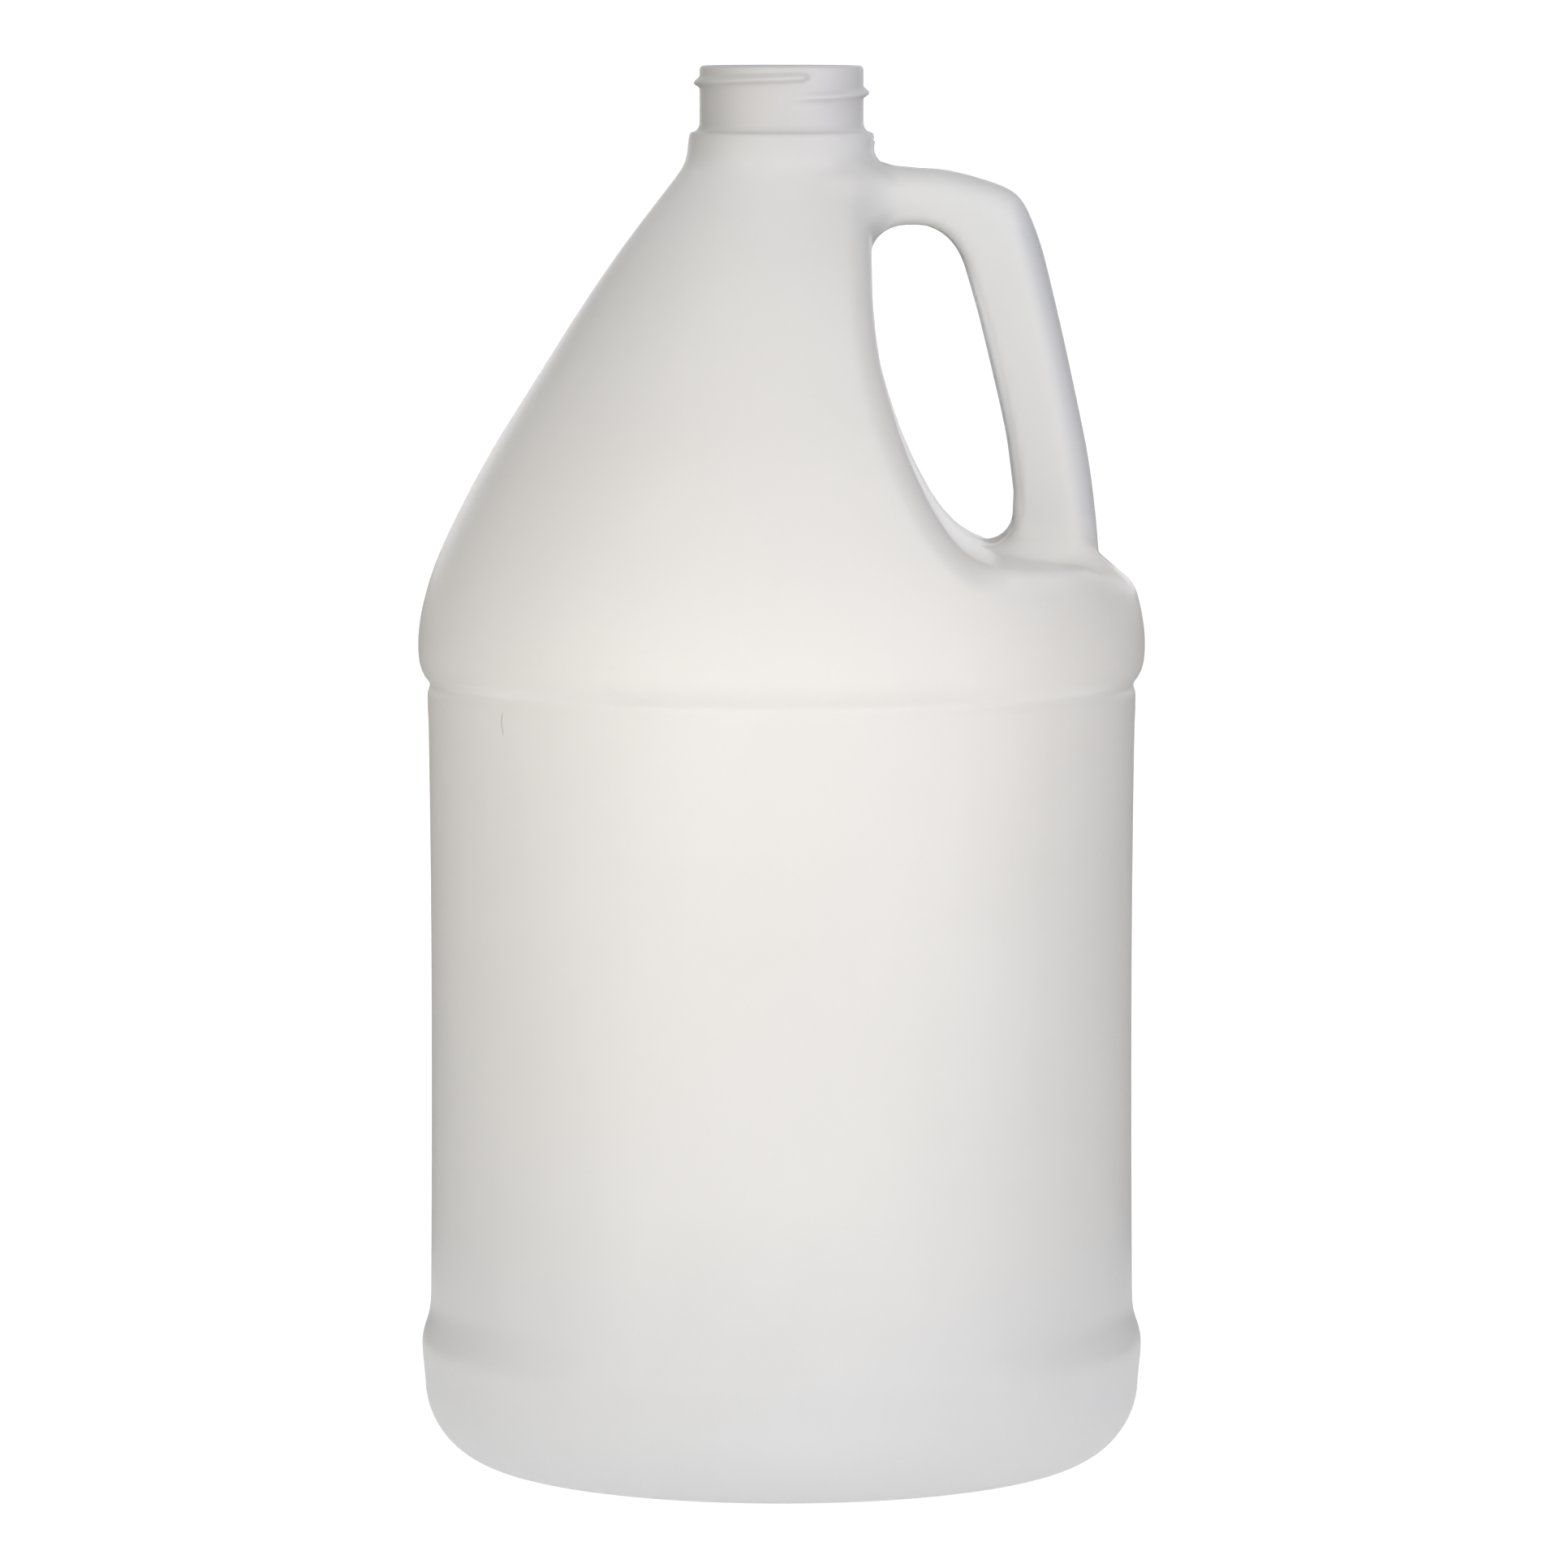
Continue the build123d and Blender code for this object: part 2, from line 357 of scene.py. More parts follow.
def foot_rows(t, coarse):
    """The turned outline from the middle of the base up to the low cut, t under the outside."""
    k = 2 if coarse else 1
    rows = [(r, 6.0 - 0.02 * r + t) for r in np.linspace(2.0, 30.0, 9 // k + 1)]
    rows += [tuple(q) for q in curve(
        [(30.0, 5.4 + t), (38.0, 5.15 + t), (46.0, 4.3 + t), (51.0, 2.5 + t), (54.2, 0.55 + t), (55.4, t)], 1.6 * k)[1:-1]]
    rows += [(55.4 + 0.3, t), (57.0, t)]
    rows += arc(58.5, 17.8, 17.8 - t, -90, -2, 20 // k)
    ring = curve(
        [(76.3 - t, 17.8), (76.75 - t, 22.5), (76.9 - t, 26.4), (76.35 - t, 29.0), (75.4 - t, 32.0), (75.03 - t, 36.0),
         (74.98 - t, 41.0)], 1.1 * k)
    rows += [tuple(q) for q in ring]
    zs = np.linspace(47.0, 158.0, 21 // k)
    rows += [(74.72 + 0.58 * ((z - 100.0) / 66.0) ** 2 - t if z > 100 else 74.72 + 0.31 * ((z - 100.0) / 64.0) ** 2 - t, z)
             for z in zs]
    step = [161.5, 163.6, 164.6, 165.2, 165.6, 166.0, 166.4, 166.8, 167.2, 167.6, 168.0, 168.5, 169.1, 169.8, 170.7,
            171.8, 173.0, 174.4, 175.8]
    if coarse:
        step = step[::2]
    rows += [(float(turned_radius(np.array([max(z, 163.3)]))[0]) - t, z) for z in step]
    return rows


def neck_rows():
    """The turned outline from the high cut over the ledge, the neck and the rim, to the bore's edge."""
    r = float(turned_radius(np.array([high_cut]))[0])
    rows = [(r - 0.01, 282.5), (19.62, 283.0), (19.58, 283.3), (19.46, 283.58), (19.25, 283.8), (18.95, 283.94),
            (18.6, 284.03), (18.27, 284.17), (17.97, 284.4), (17.73, 284.72), (17.56, 285.12), (17.46, 285.6), (17.41, 286.1)]
    rows += [(17.4, z) for z in np.arange(286.6, 290.0, 0.5)]
    rows += [(17.4, z) for z in np.arange(290.0, 296.95, 0.2)]
    rows += arc(16.45, 297.05, 0.95, 8, 90, 8)
    rows += [(16.2, 298.0)]
    rows += arc(16.05, 297.55, 0.45, 90, 180, 6)
    return rows


def bore_rows():
    """The bore from under the rim down to the high cut."""
    return [(15.6, z) for z in (296.8, 295.0, 292.0, 289.0, 286.5, 284.0, 283.0)]


class Mesh:
    """Collects points in millimetres, faces and point normals."""

    def __init__(self):
        self.p, self.faces, self.n = [], [], []
        self.count = 0

    def add(self, p, faces, normals):
        base = self.count
        self.p.append(np.asarray(p, float))
        self.n.append(np.asarray(normals, float))
        self.count += len(p)
        self.faces += [tuple(int(v) + base for v in f) for f in faces]
        return base

    def grid(self, rows, columns, inward=False, bump=None):
        """A turned grid; returns the first and the last row's point numbers. Rows that run up the outside, or down it,
        make faces that look away from the plastic. The inward argument is not used."""
        rows = np.array(rows, float)
        theta = -math.pi + (np.arange(columns) + 0.5) * 2 * math.pi / columns
        r = np.repeat(rows[:, :1], columns, 1)
        z = np.repeat(rows[:, 1:], columns, 1)
        th = np.repeat(theta[None], len(rows), 0)
        if bump is not None:
            r = r + bump(th, z)
        p = np.stack([r * np.cos(th), r * np.sin(th), z], -1)
        along = np.gradient(p, axis=0)
        around = (np.roll(p, -1, 1) - np.roll(p, 1, 1))
        n = np.cross(around, along)
        n /= np.maximum(np.linalg.norm(n, axis=-1, keepdims=True), 1e-12)
        faces = []
        for i in range(len(rows) - 1):
            a, b = i * columns, (i + 1) * columns
            for j in range(columns):
                k = (j + 1) % columns
                faces.append((a + j, a + k, b + k, b + j))
        base = self.add(p.reshape(-1, 3), faces, n.reshape(-1, 3))
        ids = np.arange(base, base + len(rows) * columns).reshape(len(rows), columns)
        return ids[0], ids[-1]

    def zip(self, lower, upper):
        """Triangles between two loops that are each ordered round the axis; the outside faces away for lower below."""
        pts = np.concatenate(self.p)
        ta = np.arctan2(pts[lower, 1], pts[lower, 0])
        tb = np.arctan2(pts[upper, 1], pts[upper, 0])
        ta, tb = np.append(ta, ta[0] + 2 * math.pi), np.append(tb, tb[0] + 2 * math.pi)
        la, lb = np.append(lower, lower[0]), np.append(upper, upper[0])
        i = j = 0
        while i < len(lower) or j < len(upper):
            if j == len(upper) or (i < len(lower) and ta[i + 1] + ta[i] < tb[j + 1] + tb[j]):
                self.faces.append((int(la[i]), int(la[i + 1]), int(lb[j])))
                i += 1
            else:
                self.faces.append((int(la[i]), int(lb[j + 1]), int(lb[j])))
                j += 1

    def ridge(self, path, half, height, depth=0.35):
        """A fine raised line in the parting plane along path, (x, z) points with the plastic on the path's right;
        half is its half width and height how far it stands out, one number or one for each point."""
        path = np.asarray(path, float)
        n = len(path)
        along = np.gradient(path, axis=0)
        along /= np.linalg.norm(along, axis=1, keepdims=True)
        out = np.stack([-along[:, 1], along[:, 0]], 1)
        half, height = np.broadcast_to(half, n), np.broadcast_to(height, n)
        points, normals = [], []
        for side, up, sy, su in ((-1, 0, -0.97, 0.25), (-0.6, 1, -0.75, 0.66), (0.6, 1, 0.75, 0.66), (1, 0, 0.97, 0.25)):
            lift = np.where(up, height, -depth)[:, None]
            q = path + out * lift
            points.append(np.stack([q[:, 0], side * half, q[:, 1]], 1))
            normals.append(np.stack([out[:, 0] * su, np.full(n, sy), out[:, 1] * su], 1))
        p = np.stack(points, 1).reshape(-1, 3)
        faces = []
        for i in range(n - 1):
            for a in range(4):
                b = (a + 1) % 4
                faces.append((4 * i + 4 + a, 4 * i + 4 + b, 4 * i + b, 4 * i + a))
        faces += [(0, 1, 2, 3), (4 * n - 1, 4 * n - 2, 4 * n - 3, 4 * n - 4)]
        self.add(p, faces, np.stack(normals, 1).reshape(-1, 3))

    def object(self, name, material):
        mesh = bpy.data.meshes.new(name)
        p = np.concatenate(self.p) * 0.001
        mesh.from_pydata(p.tolist(), [], self.faces)
        mesh.validate()
        mesh.polygons.foreach_set("use_smooth", [True] * len(mesh.polygons))
        n = np.concatenate(self.n)
        n /= np.maximum(np.linalg.norm(n, axis=1, keepdims=True), 1e-12)
        mesh.normals_split_custom_set_from_vertices(n.tolist())
        mesh.materials.append(material)
        made = bpy.data.objects.new(name, mesh)
        bpy.context.scene.collection.objects.link(made)
        return made


def in_plane(path, rounds=6):
    """(x, z) points of the parting plane moved onto the jug's outside."""
    p = np.stack([path[:, 0], np.zeros(len(path)), path[:, 1]], 1)
    return onto(outside, p, rounds)[:, [0, 2]]


def spaced(path, step):
    s = np.concatenate([[0.0], np.cumsum(np.hypot(*np.diff(path, axis=0).T))])
    t = np.linspace(0, s[-1], int(s[-1] / step) + 2)
    return np.stack([np.interp(t, s, path[:, 0]), np.interp(t, s, path[:, 1])], 1)


def parting_line(m):
    """The fine line that the two halves of the mould leave: on the grip's inner edge, where it stands out most, up
    both sides, along the handle's back and, as the pinched-off seam, across the base."""
    centre = np.array([32.0, 232.0])
    turn = np.linspace(0, 2 * math.pi, 361)
    ray = np.stack([np.cos(turn), np.sin(turn)], 1)
    near, far = np.zeros(361), np.full(361, 46.0)
    for _ in range(22):
        mid = (near + far) / 2
        q = centre + ray * mid[:, None]
        steps = np.linspace(0.2, 1.0, 40)
        open_way = np.ones(361, bool)
        for t in steps:
            w = centre + ray * (mid * t)[:, None]
            open_way &= outside(np.stack([w[:, 0], np.zeros(361), w[:, 1]], 1)) > 0
        near, far = np.where(open_way, mid, near), np.where(open_way, far, mid)
    eye = spaced(centre + ray * near[:, None], 1.0)
    prominent = step01((eye[:, 0] - 26.0) / 6.0) * step01((eye[:, 1] - 204.0) / 5.0)
    prominent *= step01((eye[:, 0] - (24.0 + (262.0 - eye[:, 1]) * 0.30)) / 4.0)
    m.ridge(eye, 0.22 + 0.2 * prominent, 0.30 - 0.65 * (1 - prominent), 0.4)
    low = np.array([q for q in foot_rows(0.0, False) if q[1] > 2.0 and q[0] > 50.0])
    z = np.arange(177.5, 282.6, 1.5)
    left = np.concatenate([low, np.stack([turned_radius(z), z], 1)])
    left[:, 0] *= -1
    left = spaced(left[::-1], 1.6)[::-1]
    m.ridge(left, 0.25, np.clip(77.3 + left[:, 0], -0.2, 0.06))
    z = np.arange(177.5, 186.0, 1.5)
    foot = np.stack([turned_radius(z), z], 1)
    back = curve(handle_outer_pts, 1.5)
    back = back[(back[:, 1] > 198.5) & (back[:, 0] > 23.0)][::-1]
    mend = np.linspace(foot[-1], back[0], 12)[1:-1]
    neck = np.array([(21.2, 278.6), (20.2, 280.2), (19.75, 282.0)])
    right = np.concatenate([low, foot, in_plane(mend), back, in_plane(neck[:2]), neck[2:]])
    right = spaced(right, 1.2)[::-1]
    m.ridge(right, 0.28, np.clip(77.3 - right[:, 0], -0.2, 0.06))
    x = np.linspace(44.0, -44.0, 45)
    r = np.abs(x)
    base = np.array(foot_rows(0.0, False))
    seam = np.stack([x, np.interp(r, base[:, 0], base[:, 1])], 1)
    m.ridge(seam, 0.7, 0.45 * step01((45.0 - r) / 6.0))


def jug_mesh():
    m = Mesh()
    # outside
    p, quads, low, high = sampled(outside, 1.5, 3)
    g = gradient(outside, p)
    base = m.add(p, quads, g)
    low, high = low + base, high + base
    first, last = m.grid(foot_rows(0.0, False), 180)
    m.zip(last, low)
    middle = m.add([(0.0, 0.0, 6.0)], [], [(0, 0, -1.0)])
    m.faces += [(int(first[(j + 1) % 180]), int(first[j]), middle) for j in range(180)]
    neck_first, neck_last = m.grid(neck_rows(), 216, bump=thread_height)
    m.zip(high, neck_first)
    # hollow
    p, quads, low, high = sampled(inside, 2.1, 2)
    g = gradient(inside, p)
    base = m.add(p, quads[:, ::-1], -g)
    low, high = low + base, high + base
    outer_faces = len(m.faces)
    first, last = m.grid(foot_rows(1.0, True), 90)
    m.n[-1] = -m.n[-1]
    m.zip(last, low)
    middle = m.add([(0.0, 0.0, 7.0)], [], [(0, 0, 1.0)])
    m.faces += [(int(first[(j + 1) % 90]), int(first[j]), middle) for j in range(90)]
    m.faces[outer_faces:] = [f[::-1] for f in m.faces[outer_faces:]]
    bore_first, bore_last = m.grid(bore_rows(), 96)
    m.zip(bore_last, high)
    m.zip(neck_last, bore_first)
    parting_line(m)
    return m


# ---------------------------------------------------------------- stage and materials
def node_tree(owner):
    owner.use_nodes = True
    tree = owner.node_tree
    tree.nodes.clear()
    return tree


def put(tree, kind, **values):
    """A node with its properties and, by name or number, its unlinked inputs set."""
    node = tree.nodes.new(kind)
    for key, value in values.items():
        if key.startswith("in_"):
            name = key[3:]
            node.inputs[int(name) if name.isdigit() else name.replace("_", " ")].default_value = value
        else:
            setattr(node, key, value)
    return node


def noise(tree, where, scale, detail=2.0, rough=0.5, stretch=None):
    """A noise texture's value output at object coordinates, in features per metre."""
    if stretch is not None:
        mapped = put(tree, "ShaderNodeMapping", in_Scale=stretch)
        tree.links.new(where, mapped.inputs["Vector"])
        where = mapped.outputs["Vector"]
    node = put(tree, "ShaderNodeTexNoise", in_Scale=scale, in_Detail=detail, in_Roughness=rough)
    tree.links.new(where, node.inputs["Vector"])
    return node.outputs["Fac"]


def maths(tree, op, a, b=0.0, c=0.0):
    node = put(tree, "ShaderNodeMath", operation=op)
    for socket, value in zip(node.inputs, (a, b, c)):
        if isinstance(value, (int, float)):
            socket.default_value = value
        else:
            tree.links.new(value, socket)
    return node.outputs[0]


def ranged(tree, value, from_low, from_high, to_low, to_high):
    node = put(tree, "ShaderNodeMapRange", in_1=from_low, in_2=from_high, in_3=to_low, in_4=to_high)
    tree.links.new(value, node.inputs[0])
    return node.outputs[0]


def ramp_of(tree, value, stops, ease="EASE"):
    node = put(tree, "ShaderNodeValToRGB")
    node.color_ramp.interpolation = ease
    elements = node.color_ramp.elements
    while len(elements) < len(stops):
        elements.new(0.5)
    for element, (position, colour) in zip(elements, stops):
        element.position = position
        element.color = (*colour, 1)
    tree.links.new(value, node.inputs[0])
    return node.outputs[0]


def plastic():
    """Natural milky polyethylene: satin, a little see-through, faintly uneven as a blown wall is."""
    material = bpy.data.materials.new("natural_plastic")
    tree = node_tree(material)
    link = tree.links.new
    where = put(tree, "ShaderNodeTexCoord").outputs["Object"]
    cloud = noise(tree, where, 22.0, 3.0, 0.55)
    streak = noise(tree, where, 1.0, 2.0, 0.6, stretch=(120.0, 120.0, 9.0))
    grain = noise(tree, where, 1500.0, 3.0, 0.6)
    wave = noise(tree, where, 26.0, 1.0, 0.4)
    dimple = noise(tree, where, 210.0, 2.0, 0.5)

    # the wall's colour by height: clearest and warmest in the body, greyer at the heel; over the handle's height and
    # the neck it is darker, partly thicker wall and partly painted shade for the lesser light coming through there
    place = put(tree, "ShaderNodeSeparateXYZ")
    link(where, place.inputs[0])
    px, py, pz = place.outputs
    level = maths(tree, "ADD", pz, ranged(tree, cloud, 0.3, 0.7, -0.006, 0.006))
    tone_shade_and_light_by_level = ramp_of(tree, ranged(tree, level, 0.0, 0.3, 0.0, 1.0), [
        (0.0, (0.818, 0.820, 0.826)), (0.09, (0.820, 0.818, 0.818)), (0.22, (0.855, 0.845, 0.828)),
        (0.57, (0.880, 0.864, 0.840)), (0.70, (0.842, 0.830, 0.812)), (0.86, (0.800, 0.792, 0.780)),
        (0.925, (0.800, 0.795, 0.788)), (0.955, (0.715, 0.708, 0.706)), (1.0, (0.705, 0.697, 0.693))], "LINEAR")
    # painted light: the colour is lightened along the groove under the shoulder, standing in for light through the wall
    # there and lifting the groove's shade
    groove = ranged(tree, maths(tree, "ABSOLUTE", maths(tree, "SUBTRACT", pz, 0.1672)), 0.0003, 0.0026, 1.0, 0.0)
    groove_and_foot_light = put(tree, "ShaderNodeMix", data_type="RGBA", blend_type="MIX")
    web = ranged(tree, maths(tree, "ABSOLUTE", maths(tree, "SUBTRACT", pz, 0.1932)), 0.0014, 0.0050, 1.0, 0.0)
    web = maths(tree, "MULTIPLY", web, maths(tree, "MULTIPLY", ranged(tree, px, 0.040, 0.048, 0.0, 1.0),
                                             ranged(tree, px, 0.058, 0.068, 1.0, 0.0)))   # painted light also lightens the web at the handle's foot, lifting its shade
    link(maths(tree, "MAXIMUM", maths(tree, "MULTIPLY", groove, 0.30), maths(tree, "MULTIPLY", web, 0.75)), groove_and_foot_light.inputs["Factor"])
    link(tone_shade_and_light_by_level, groove_and_foot_light.inputs[6])
    groove_and_foot_light.inputs[7].default_value = (0.975, 0.968, 0.955, 1)
    tone_shade_and_light_by_level = groove_and_foot_light.outputs[2]
    # painted shade: the handle is tinted a little darker and cooler, for less light coming through its double wall
    handle_shade_mask = maths(tree, "MULTIPLY", ranged(tree, px, 0.019, 0.036, 0.0, 1.0), ranged(tree, pz, 0.190, 0.206, 0.0, 1.0))
    grip = put(tree, "ShaderNodeMix", data_type="RGBA", blend_type="MULTIPLY")
    link(handle_shade_mask, grip.inputs["Factor"])
    link(tone_shade_and_light_by_level, grip.inputs[6])
    grip.inputs[7].default_value = (0.985, 0.992, 1.0, 1)
    # painted shade: a darker, cooler strip runs down the grip's outer corner
    up = maths(tree, "SUBTRACT", 0.2612, pz)
    lean = maths(tree, "DIVIDE", maths(tree, "SUBTRACT", pz, 0.231), 0.030)
    edge_x = maths(tree, "ADD", maths(tree, "MULTIPLY_ADD", up, 0.2074, 0.05459),
                   maths(tree, "MULTIPLY", maths(tree, "SUBTRACT", 1.0, maths(tree, "MULTIPLY", lean, lean)), 0.001))
    corner_shade_mask = ranged(tree, maths(tree, "SUBTRACT", edge_x, px), 0.0030, 0.0052, 1.0, 0.0)
    corner_shade_mask = maths(tree, "MULTIPLY", corner_shade_mask, maths(tree, "MULTIPLY", ranged(tree, pz, 0.196, 0.204, 0.0, 1.0),
                                               ranged(tree, pz, 0.262, 0.270, 1.0, 0.0)))
    corner = put(tree, "ShaderNodeMix", data_type="RGBA", blend_type="MULTIPLY")
    link(corner_shade_mask, corner.inputs["Factor"])
    link(grip.outputs[2], corner.inputs[6])
    corner.inputs[7].default_value = (0.90, 0.905, 0.93, 1)
    # and painted light lightens the fine flash along its inner edge
    rise = maths(tree, "SUBTRACT", pz, 0.205)
    inner_x = maths(tree, "SUBTRACT", 0.0494, maths(tree, "MULTIPLY", rise, maths(tree, "MULTIPLY_ADD", rise, 2.365, 0.0893)))
    flash = ranged(tree, maths(tree, "SUBTRACT", px, inner_x), 0.0009, 0.0018, 1.0, 0.0)
    flash = maths(tree, "MULTIPLY", flash, maths(tree, "GREATER_THAN", maths(tree, "SUBTRACT", px, inner_x), -0.0035))
    flash = maths(tree, "MULTIPLY", flash, maths(tree, "MULTIPLY", ranged(tree, pz, 0.199, 0.205, 0.0, 1.0),
                                                 ranged(tree, pz, 0.250, 0.258, 1.0, 0.0)))
    clear = put(tree, "ShaderNodeMix", data_type="RGBA", blend_type="MIX")
    link(flash, clear.inputs["Factor"])
    link(corner.outputs[2], clear.inputs[6])
    clear.inputs[7].default_value = (0.97, 0.975, 0.985, 1)
    uneven = maths(tree, "ADD", maths(tree, "MULTIPLY", cloud, 0.8), maths(tree, "MULTIPLY", streak, 0.2))
    mottle = put(tree, "ShaderNodeMix", data_type="RGBA", blend_type="MULTIPLY")
    mottle.inputs["Factor"].default_value = 1.0
    link(clear.outputs[2], mottle.inputs[6])
    link(ramp_of(tree, uneven, [(0.3, (0.978, 0.976, 0.972)), (0.7, (1.0, 1.0, 1.0))], "LINEAR"), mottle.inputs[7])
    # the neck is lighter and cooler on the handle's side, darker and warmer on the far side
    neck_side = ramp_of(tree, ranged(tree, px, -0.018, 0.018, 0.0, 1.0), [
        (0.0, (0.90, 0.893, 0.868)), (0.5, (0.985, 0.98, 0.975)), (1.0, (1.08, 1.08, 1.10))], "LINEAR")
    neck = put(tree, "ShaderNodeMix", data_type="RGBA", blend_type="MULTIPLY")
    link(ranged(tree, pz, 0.276, 0.286, 0.0, 1.0), neck.inputs["Factor"])
    link(mottle.outputs[2], neck.inputs[6])
    link(neck_side, neck.inputs[7])
    # one fine dark hair caught in the wall, at the front left under the shoulder
    wander = maths(tree, "MULTIPLY", maths(tree, "SINE", maths(tree, "MULTIPLY", pz, 900.0)), 0.00022)
    beside = maths(tree, "ABSOLUTE", maths(tree, "SUBTRACT", maths(tree, "ADD", px, wander), -0.05803))
    hair = maths(tree, "MULTIPLY", ranged(tree, beside, 0.00003, 0.00012, 1.0, 0.0),
                 maths(tree, "MULTIPLY", ranged(tree, pz, 0.1592, 0.1602, 0.0, 1.0), ranged(tree, pz, 0.1638, 0.1646, 1.0, 0.0)))
    hair = maths(tree, "MULTIPLY", hair, maths(tree, "LESS_THAN", py, 0.0))
    marked = put(tree, "ShaderNodeMix", data_type="RGBA", blend_type="MIX")
    link(maths(tree, "MULTIPLY", hair, 0.45), marked.inputs["Factor"])
    link(neck.outputs[2], marked.inputs[6])
    marked.inputs[7].default_value = (0.10, 0.09, 0.08, 1)
    colour = marked.outputs[2]

    height = maths(tree, "ADD", maths(tree, "MULTIPLY", wave, 1.0), maths(tree, "MULTIPLY", dimple, 0.03))
    height = maths(tree, "ADD", height, maths(tree, "MULTIPLY", grain, 0.004))
    bump = put(tree, "ShaderNodeBump", in_Strength=1.0, in_Distance=0.0005)
    link(height, bump.inputs["Height"])

    shader = put(tree, "ShaderNodeBsdfPrincipled", in_IOR=1.5)
    link(colour, shader.inputs["Base Color"])
    link(ranged(tree, grain, 0.3, 0.7, 0.27, 0.37), shader.inputs["Roughness"])
    link(bump.outputs[0], shader.inputs["Normal"])
    through = put(tree, "ShaderNodeBsdfTranslucent")
    link(colour, through.inputs["Color"])
    link(bump.outputs[0], through.inputs["Normal"])
    mix = put(tree, "ShaderNodeMixShader", in_0=0.45)
    link(shader.outputs[0], mix.inputs[1])
    link(through.outputs[0], mix.inputs[2])
    out = put(tree, "ShaderNodeOutputMaterial")
    link(mix.outputs[0], out.inputs["Surface"])
    return material


natural = plastic()
mesh_data = jug_mesh()
jug = mesh_data.object("jug_shell", natural)
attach(jug, "root")
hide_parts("jug")

# ---------------------------------------------------------------- floor
table_r_m = 0.34
turns = [2 * math.pi * k / 96 for k in range(96)]
rim = [(table_r_m * math.cos(t), table_r_m * math.sin(t), 0.0) for t in turns]
far = [(4000 * math.cos(t), 4000 * math.sin(t), 0.0) for t in turns]
floor_material = bpy.data.materials.new("pale_floor")
tree = node_tree(floor_material)
paper = put(tree, "ShaderNodeBsdfPrincipled", in_Base_Color=(0.25, 0.25, 0.25, 1), in_Roughness=0.9,
            in_Emission_Color=(1, 1, 1, 1), in_Emission_Strength=0.90, in_Specular_IOR_Level=0.0)
tree.links.new(paper.outputs[0], put(tree, "ShaderNodeOutputMaterial").inputs["Surface"])
table_mesh = bpy.data.meshes.new("table")
table_mesh.from_pydata(rim, [], [tuple(range(96))])
floor_mesh = bpy.data.meshes.new("floor")
floor_mesh.from_pydata(rim + far, [], [(k, 96 + k, 96 + (k + 1) % 96, (k + 1) % 96) for k in range(96)])
for mesh in (table_mesh, floor_mesh):
    mesh.materials.append(floor_material)
    made = bpy.data.objects.new(mesh.name, mesh)
    bpy.context.scene.collection.objects.link(made)
    if mesh is floor_mesh:
        # beyond the table the floor only receives: what it would throw back is in the studio's light below
        made.visible_diffuse = made.visible_glossy = made.visible_transmission = made.visible_shadow = False

# ---------------------------------------------------------------- light
# A wide soft front, dimmer flanks, and a pale sweep behind that starts a little above the jug's foot.
world = bpy.data.worlds.new("studio")
bpy.context.scene.world = world
tree = node_tree(world)
axes = put(tree, "ShaderNodeSeparateXYZ")
tree.links.new(put(tree, "ShaderNodeTexCoord").outputs["Generated"], axes.inputs[0])


def times(a, b):
    node = put(tree, "ShaderNodeVectorMath", operation="MULTIPLY")
    tree.links.new(a, node.inputs[0])
    tree.links.new(b, node.inputs[1])
    return node.outputs[0]


def plus(a, b):
    node = put(tree, "ShaderNodeVectorMath", operation="ADD")
    tree.links.new(a, node.inputs[0])
    tree.links.new(b, node.inputs[1])
    return node.outputs[0]


def grey(v):
    return (v, v, v)


x_axis, y_axis, z_axis = axes.outputs
by_depth = ramp_of(tree, ranged(tree, y_axis, 1.0, -1.0, 0.0, 1.0), [
    (0.0, grey(0.12)), (0.38, grey(0.06)), (0.50, grey(0.06)), (0.60, grey(0.78)), (0.74, grey(1.62)), (0.88, grey(1.58)),
    (1.0, grey(1.34))])
by_height = ramp_of(tree, ranged(tree, z_axis, -1.0, 1.0, 0.0, 1.0), [
    (0.0, grey(1.0)), (0.45, grey(1.06)), (0.60, grey(1.0)), (0.80, grey(0.82)), (1.0, grey(0.68))])
by_side = ramp_of(tree, ranged(tree, x_axis, -1.0, 1.0, 0.0, 1.0), [
    (0.0, (0.55, 0.55, 0.57)), (0.18, (1.24, 1.22, 1.18)), (0.35, (1.14, 1.12, 1.09)), (0.5, (0.935, 0.925, 0.91)),
    (0.7, (1.05, 1.045, 1.05)), (0.85, (1.12, 1.125, 1.17)), (1.0, (0.80, 0.83, 0.98))])
top = ranged(tree, z_axis, 0.30, 0.90, 0.0, 0.34)
straight = ranged(tree, y_axis, 0.985, 0.995, 0.0, 1.0)
behind = maths(tree, "MULTIPLY", ranged(tree, y_axis, 0.72, 0.92, 0.0, 0.95), ranged(tree, z_axis, -0.01, 0.05, 0.0, 1.0))
above = maths(tree, "MULTIPLY", ranged(tree, y_axis, 0.25, 0.60, 0.0, 0.55), ranged(tree, z_axis, 0.25, 0.45, 0.0, 1.0))
behind = maths(tree, "MULTIPLY", behind, ranged(tree, x_axis, -0.60, -0.25, 0.35, 1.0))   # a flag keeps the left edge darker
glow = maths(tree, "MAXIMUM", maths(tree, "MAXIMUM", behind, above), maths(tree, "MAXIMUM", straight, top))
glow_colour = put(tree, "ShaderNodeVectorMath", operation="SCALE")
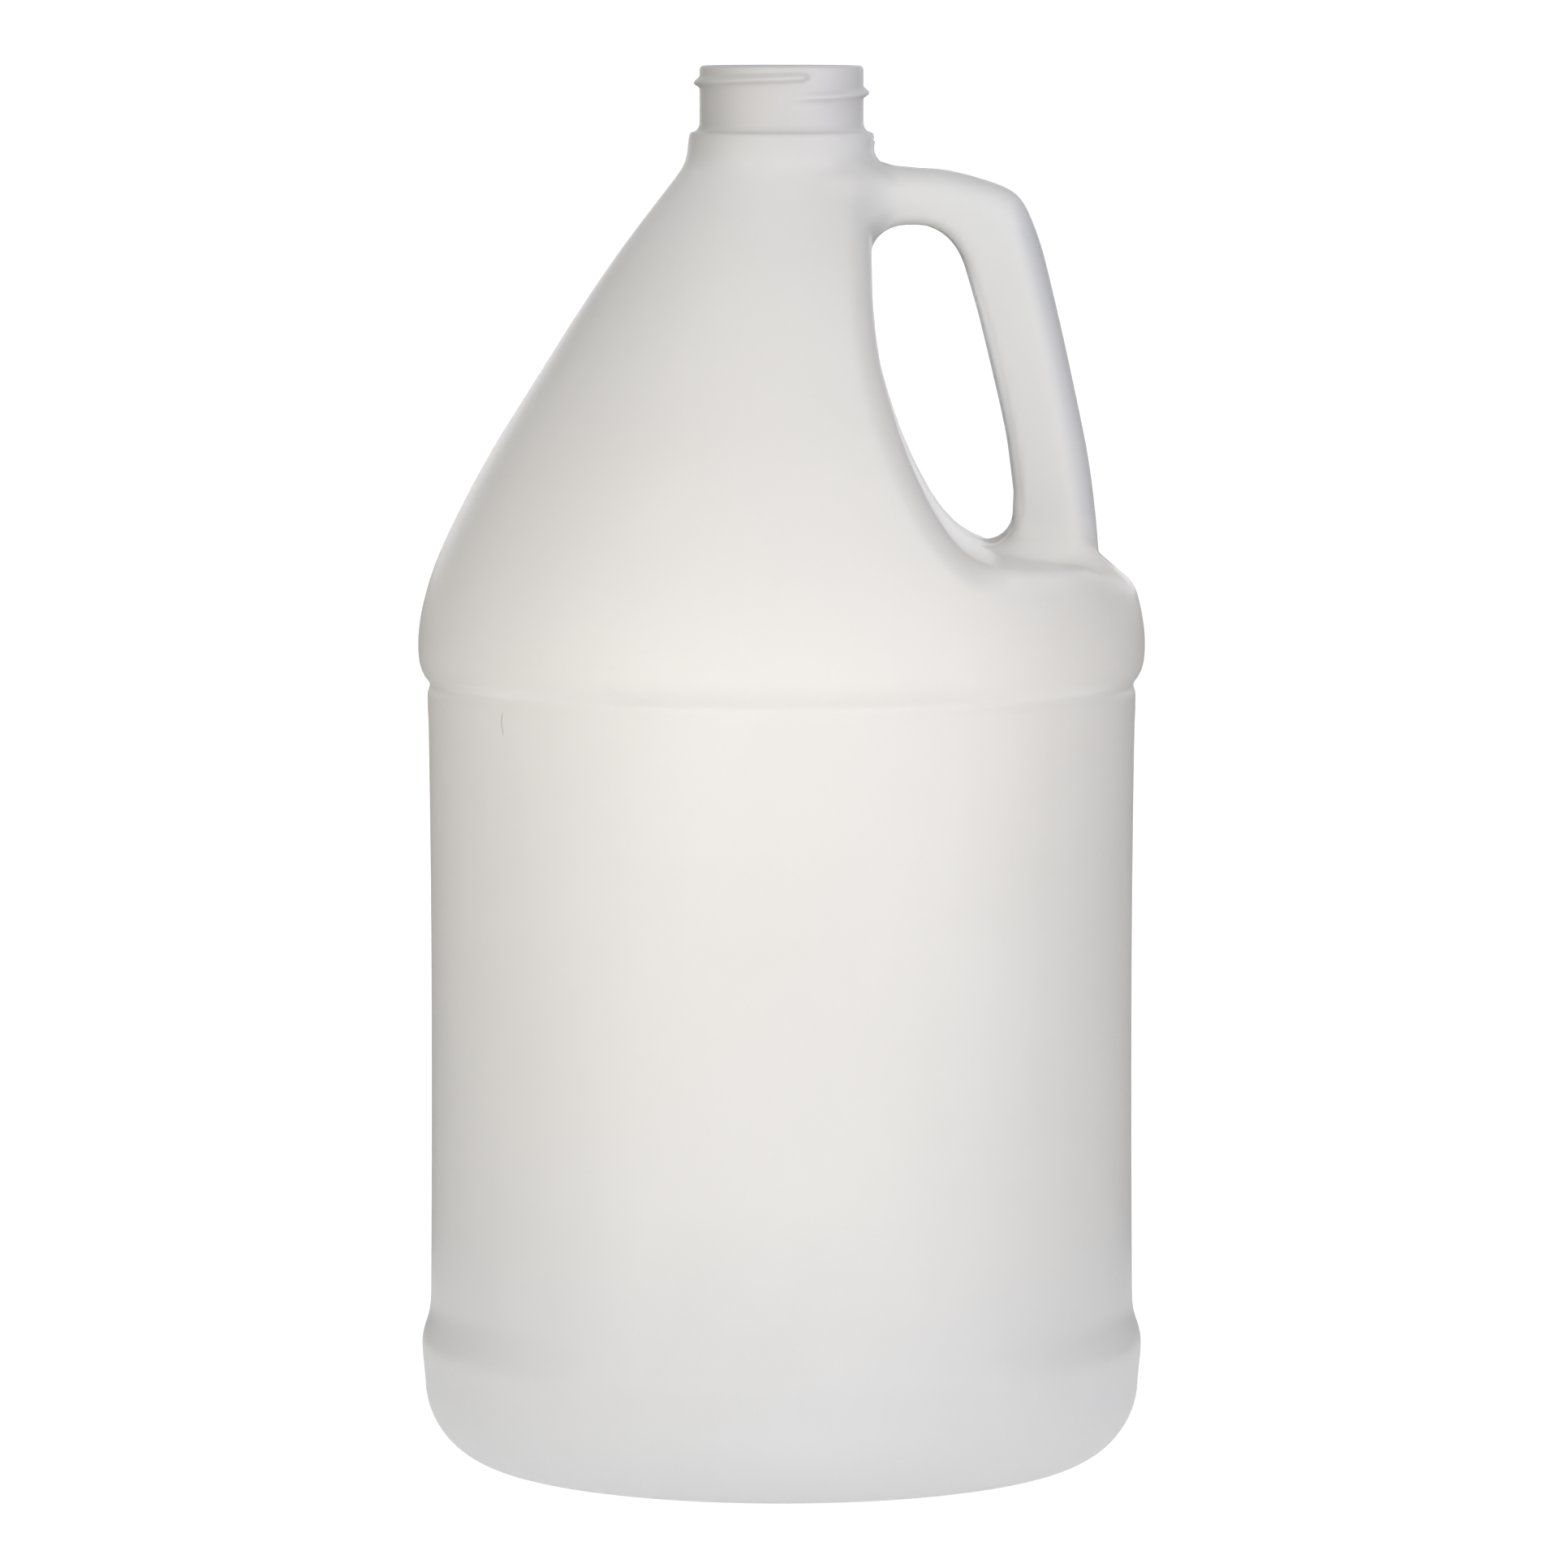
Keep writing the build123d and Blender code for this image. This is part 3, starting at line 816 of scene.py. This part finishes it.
glow_colour.inputs[0].default_value = (1.15, 1.17, 1.21)
tree.links.new(glow, glow_colour.inputs["Scale"])
light = plus(times(times(by_depth, by_height), by_side), glow_colour.outputs[0])
sky = put(tree, "ShaderNodeBackground", in_Strength=1.0)
tree.links.new(light, sky.inputs["Color"])
white = put(tree, "ShaderNodeBackground", in_Color=(0.985, 0.985, 0.985, 1))
seen = put(tree, "ShaderNodeMixShader")
tree.links.new(put(tree, "ShaderNodeLightPath").outputs["Is Camera Ray"], seen.inputs[0])
tree.links.new(sky.outputs[0], seen.inputs[1])
tree.links.new(white.outputs[0], seen.inputs[2])
tree.links.new(seen.outputs[0], put(tree, "ShaderNodeOutputWorld").inputs["Surface"])
# a low, wide soft box behind, out of sight, that edges the shoulder's slope and the wall beside the finger opening
box_data = bpy.data.lights.new("soft_box", "AREA")
box_data.shape, box_data.size, box_data.size_y = "RECTANGLE", 0.60, 0.12
box_data.energy = 1.4 * math.pi * 0.60 * 0.12
box_data.color = (1.0, 1.0, 1.03)
box = bpy.data.objects.new("soft_box", box_data)
bpy.context.scene.collection.objects.link(box)
box.location, box.rotation_euler = (0.0, 0.55, 0.26), (math.radians(-90), 0, 0)
box.visible_camera = False
world.cycles.sampling_method = "MANUAL"
world.cycles.sample_map_resolution = 512


# ---------------------------------------------------------------- camera
camera_data = bpy.data.cameras.new("camera")
camera = bpy.data.objects.new("camera", camera_data)
bpy.context.scene.collection.objects.link(camera)
camera_data.sensor_width = 36.0
camera_data.lens = 36.0 * 11600.0 / 1932.0
camera_data.clip_start, camera_data.clip_end = 0.05, 200.0
camera.location = (0.000517, -2.0, 0.3195)
camera.rotation_euler = (math.radians(90.0) - math.atan((0.3195 - 0.1452) / 2.0), 0.0, 0.0)
bpy.context.scene.camera = camera

scene = bpy.context.scene
scene.view_settings.view_transform = "Standard"
scene.view_settings.look = "None"
scene.cycles.use_denoising = True
scene.cycles.max_bounces = 8
scene.cycles.diffuse_bounces = 5
scene.cycles.glossy_bounces = 3
scene.cycles.transmission_bounces = 6
